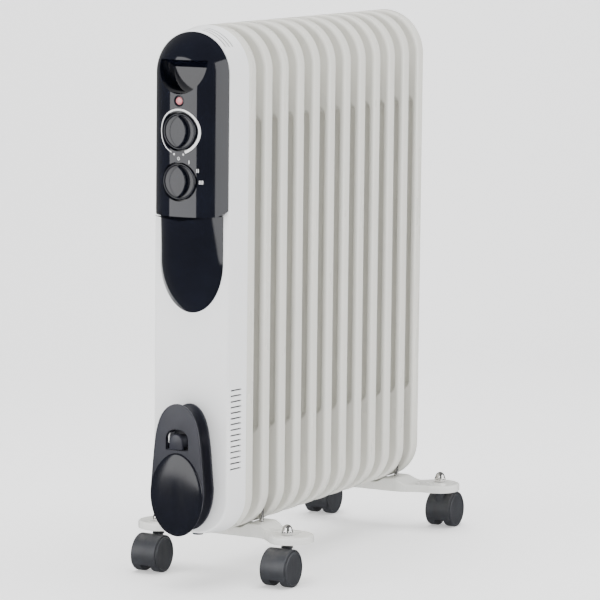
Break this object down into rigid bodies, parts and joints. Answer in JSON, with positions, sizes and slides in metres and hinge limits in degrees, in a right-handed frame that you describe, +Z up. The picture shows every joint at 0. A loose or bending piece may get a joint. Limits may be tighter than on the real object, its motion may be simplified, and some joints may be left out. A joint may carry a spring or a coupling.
{
  "type": "oil filled radiator heater",
  "caption": "Oil filled radiator heater: a row of pressed fins on two oil ducts, a control end with dials, grip and cord winder, and feet on twin-wheel casters.",
  "frame": {"origin": "centre of the bounding box at the floor the wheels stand on", "axes": "+Z up, X along the fin row with the control end at -X, Y across the fins"},
  "size_m": [0.533, 0.216, 0.616],
  "materials": {
    "fin_enamel": "light warm grey gloss enamel on pressed steel",
    "foot_enamel": "off-white gloss enamel on stamped steel",
    "housing_white": "smooth white moulded plastic",
    "panel_black": "high-gloss black moulded plastic",
    "knob_black": "gloss black moulded plastic",
    "satin_black": "fine-grained satin black plastic",
    "caster_grey": "dark grey moulded nylon",
    "chrome": "bright plated steel",
    "plain_steel": "plain zinc-plated steel",
    "element_steel": "heat-tinted steel tube",
    "lamp_red": "translucent pinkish red moulded lens",
    "insulator": "cream thermoset moulding"
  },
  "bodies": {
    "heater": {"fin_01": "fin_enamel", "fin_02": "fin_enamel", "fin_03": "fin_enamel", "fin_04": "fin_enamel", "fin_05": "fin_enamel", "fin_06": "fin_enamel", "fin_07": "fin_enamel", "fin_08": "fin_enamel", "fin_09": "fin_enamel", "fin_10": "fin_enamel", "fin_11": "fin_enamel", "fin_12": "fin_enamel", "heating_element": "element_steel", "element_flange": "plain_steel", "housing_shell": "housing_white", "cord_gland": "satin_black", "mounting_plate": "plain_steel", "thermal_cutout": "plain_steel", "terminal_block": "insulator", "control_panel": "panel_black", "panel_tongue": "panel_black", "thermostat_body": "insulator", "switch_body": "insulator", "lamp_lens": "lamp_red", "lamp_body": "insulator", "winder_plate": "satin_black", "winder_spool": "satin_black", "winder_clip": "satin_black", "front_foot": "foot_enamel", "rear_foot": "foot_enamel", "front_u_bolt": "chrome", "rear_u_bolt": "chrome", "front_right_u_bolt_nut": "plain_steel", "front_right_caster_stem": "satin_black", "front_right_cap_nut": "chrome", "front_left_u_bolt_nut": "plain_steel", "front_left_caster_stem": "satin_black", "front_left_cap_nut": "chrome", "rear_right_u_bolt_nut": "plain_steel", "rear_right_caster_stem": "satin_black", "rear_right_cap_nut": "chrome", "rear_left_u_bolt_nut": "plain_steel", "rear_left_caster_stem": "satin_black", "rear_left_cap_nut": "chrome"},
    "thermostat_dial": {"thermostat_knob": "knob_black", "thermostat_shaft": "plain_steel"},
    "switch_dial": {"switch_knob": "knob_black", "switch_shaft": "plain_steel"},
    "front_right_caster": {"front_right_caster_hood": "caster_grey"},
    "front_right_inner_wheel": {"front_right_wheel_inner": "caster_grey"},
    "front_right_outer_wheel": {"front_right_wheel_outer": "caster_grey"},
    "front_left_caster": {"front_left_caster_hood": "caster_grey"},
    "front_left_inner_wheel": {"front_left_wheel_inner": "caster_grey"},
    "front_left_outer_wheel": {"front_left_wheel_outer": "caster_grey"},
    "rear_right_caster": {"rear_right_caster_hood": "caster_grey"},
    "rear_right_inner_wheel": {"rear_right_wheel_inner": "caster_grey"},
    "rear_right_outer_wheel": {"rear_right_wheel_outer": "caster_grey"},
    "rear_left_caster": {"rear_left_caster_hood": "caster_grey"},
    "rear_left_inner_wheel": {"rear_left_wheel_inner": "caster_grey"},
    "rear_left_outer_wheel": {"rear_left_wheel_outer": "caster_grey"}
  },
  "joints": [
    {"name": "thermostat_turn", "type": "hinge", "parent": "heater", "child": "thermostat_dial", "pos_m": [-0.26, 0, 0.504], "axis": [1, 0, 0], "range_deg": [-140, 140]},
    {"name": "switch_turn", "type": "hinge", "parent": "heater", "child": "switch_dial", "pos_m": [-0.26, 0, 0.45], "axis": [1, 0, 0], "range_deg": [0, 90]},
    {"name": "front_right_swivel", "type": "hinge", "parent": "heater", "child": "front_right_caster", "pos_m": [-0.1571, -0.082, 0.04], "axis": [0, 0, 1], "continuous": true},
    {"name": "front_right_inner_roll", "type": "hinge", "parent": "front_right_caster", "child": "front_right_inner_wheel", "pos_m": [-0.1711, -0.082, 0.02], "axis": [0, 1, 0], "continuous": true},
    {"name": "front_right_outer_roll", "type": "hinge", "parent": "front_right_caster", "child": "front_right_outer_wheel", "pos_m": [-0.1711, -0.082, 0.02], "axis": [0, 1, 0], "continuous": true},
    {"name": "front_left_swivel", "type": "hinge", "parent": "heater", "child": "front_left_caster", "pos_m": [-0.1571, 0.082, 0.04], "axis": [0, 0, 1], "continuous": true},
    {"name": "front_left_inner_roll", "type": "hinge", "parent": "front_left_caster", "child": "front_left_inner_wheel", "pos_m": [-0.1711, 0.082, 0.02], "axis": [0, 1, 0], "continuous": true},
    {"name": "front_left_outer_roll", "type": "hinge", "parent": "front_left_caster", "child": "front_left_outer_wheel", "pos_m": [-0.1711, 0.082, 0.02], "axis": [0, 1, 0], "continuous": true},
    {"name": "rear_right_swivel", "type": "hinge", "parent": "heater", "child": "rear_right_caster", "pos_m": [0.2304, -0.082, 0.04], "axis": [0, 0, 1], "continuous": true},
    {"name": "rear_right_inner_roll", "type": "hinge", "parent": "rear_right_caster", "child": "rear_right_inner_wheel", "pos_m": [0.2444, -0.082, 0.02], "axis": [0, 1, 0], "continuous": true},
    {"name": "rear_right_outer_roll", "type": "hinge", "parent": "rear_right_caster", "child": "rear_right_outer_wheel", "pos_m": [0.2444, -0.082, 0.02], "axis": [0, 1, 0], "continuous": true},
    {"name": "rear_left_swivel", "type": "hinge", "parent": "heater", "child": "rear_left_caster", "pos_m": [0.2304, 0.082, 0.04], "axis": [0, 0, 1], "continuous": true},
    {"name": "rear_left_inner_roll", "type": "hinge", "parent": "rear_left_caster", "child": "rear_left_inner_wheel", "pos_m": [0.2444, 0.082, 0.02], "axis": [0, 1, 0], "continuous": true},
    {"name": "rear_left_outer_roll", "type": "hinge", "parent": "rear_left_caster", "child": "rear_left_outer_wheel", "pos_m": [0.2444, 0.082, 0.02], "axis": [0, 1, 0], "continuous": true}
  ]
}
